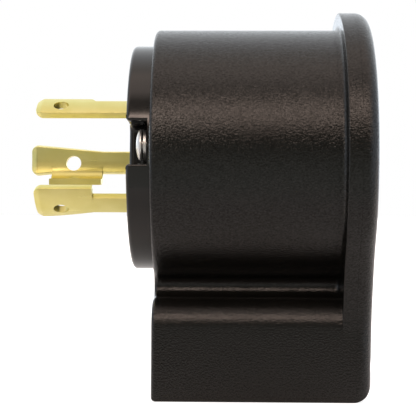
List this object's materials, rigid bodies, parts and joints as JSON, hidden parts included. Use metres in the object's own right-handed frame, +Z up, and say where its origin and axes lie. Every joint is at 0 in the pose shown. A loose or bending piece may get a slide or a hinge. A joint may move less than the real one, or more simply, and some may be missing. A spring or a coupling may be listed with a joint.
{
  "type": "power adapter dogbone",
  "caption": "Short trailer power adapter: curved-blade locking plug on a round barrel, slanted-slot receptacle face opposite, square grip block below.",
  "frame": {"origin": "centre of the plug insert's flat face, on the axis of the plug", "axes": "-X is the way the blades point, +X is the way the receptacle faces, +Z is up, with the grip block below"},
  "size_m": [0.0809, 0.0678, 0.0883],
  "materials": {
    "housing_plastic": "fine spark-textured black",
    "insert_plastic": "satin black",
    "blade_brass": "bright rolled",
    "screw_steel": "nickel plated"
  },
  "bodies": {
    "root": {"rear_housing": "housing_plastic", "front_cover": "housing_plastic", "receptacle_core": "insert_plastic", "plug_insert": "insert_plastic", "blade_retainer": "insert_plastic", "line_blade": "blade_brass", "neutral_blade": "blade_brass", "ground_blade": "blade_brass", "insert_screw_1": "screw_steel", "insert_washer_1": "screw_steel", "insert_screw_2": "screw_steel", "insert_washer_2": "screw_steel", "insert_screw_3": "screw_steel", "insert_washer_3": "screw_steel", "cover_screw_1": "screw_steel", "cover_screw_2": "screw_steel", "cover_screw_3": "screw_steel", "cover_screw_4": "screw_steel", "line_contact": "blade_brass", "line_strap": "blade_brass", "line_rivet": "blade_brass", "neutral_contact": "blade_brass", "neutral_strap": "blade_brass", "neutral_rivet": "blade_brass", "ground_contact": "blade_brass", "ground_strap": "blade_brass", "ground_rivet": "blade_brass"}
  },
  "joints": []
}
